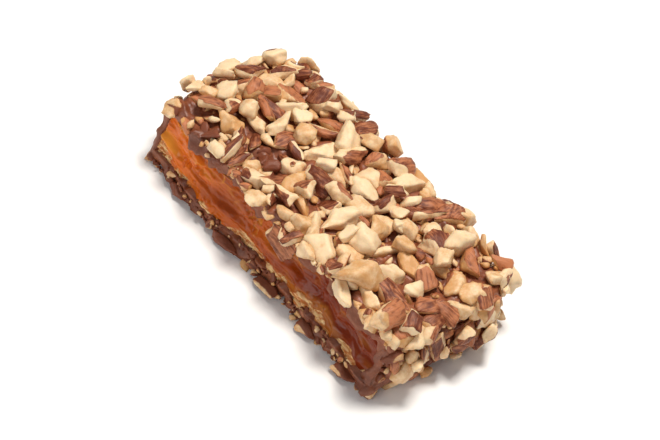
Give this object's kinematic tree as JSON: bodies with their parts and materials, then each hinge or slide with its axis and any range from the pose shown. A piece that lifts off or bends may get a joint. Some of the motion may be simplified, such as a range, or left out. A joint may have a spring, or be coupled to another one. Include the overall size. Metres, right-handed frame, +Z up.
{
  "type": "english toffee",
  "caption": "Half piece of butter toffee with one broken side, coated in milk chocolate and rolled in chopped almonds.",
  "frame": {"origin": "under the middle of the piece, on the surface it rests on", "axes": "+X along the broken side, +Y from the broken side to the back, +Z up"},
  "size_m": [0.0696, 0.0354, 0.0171],
  "materials": {
    "toffee": "glossy hard caramel, broken",
    "milk_chocolate": "satin, set milk chocolate",
    "almond_meat": "roasted nut, chopped, slightly oily",
    "almond_skin": "wrinkled brown almond skin"
  },
  "bodies": {
    "root": {"toffee_slab": "toffee", "chocolate_coat": "milk_chocolate", "almond_01": "almond_meat", "almond_02": "almond_meat", "almond_03": "almond_meat", "almond_04": "almond_meat", "almond_05": "almond_skin", "almond_06": "almond_meat", "almond_07": "almond_meat", "almond_08": "almond_skin", "almond_09": "almond_skin", "almond_10": "almond_skin", "almond_11": "almond_meat", "almond_12": "almond_skin", "almond_13": "almond_meat", "almond_14": "almond_skin", "almond_15": "almond_meat", "almond_16": "almond_meat", "almond_17": "almond_meat", "almond_18": "almond_meat", "almond_19": "almond_meat", "almond_20": "almond_meat", "almond_21": "almond_meat", "almond_22": "almond_meat", "almond_23": "almond_meat", "almond_24": "almond_meat", "almond_25": "almond_meat", "almond_26": "almond_meat", "almond_27": "almond_skin", "almond_28": "almond_meat", "almond_29": "almond_meat", "almond_30": "almond_skin", "almond_31": "almond_meat", "almond_32": "almond_skin", "almond_33": "almond_skin", "almond_34": "almond_meat", "almond_35": "almond_skin", "almond_36": "almond_skin", "almond_37": "almond_meat", "almond_38": "almond_meat", "almond_39": "almond_meat", "almond_40": "almond_meat", "almond_41": "almond_meat", "almond_42": "almond_skin", "almond_43": "almond_meat", "almond_44": "almond_meat", "almond_45": "almond_skin", "almond_46": "almond_meat", "almond_47": "almond_meat", "almond_48": "almond_meat", "almond_49": "almond_skin", "almond_50": "almond_meat", "almond_51": "almond_meat", "almond_52": "almond_skin", "almond_53": "almond_meat", "almond_54": "almond_meat", "almond_55": "almond_skin", "almond_56": "almond_meat", "almond_57": "almond_meat", "almond_58": "almond_skin"}
  },
  "joints": []
}
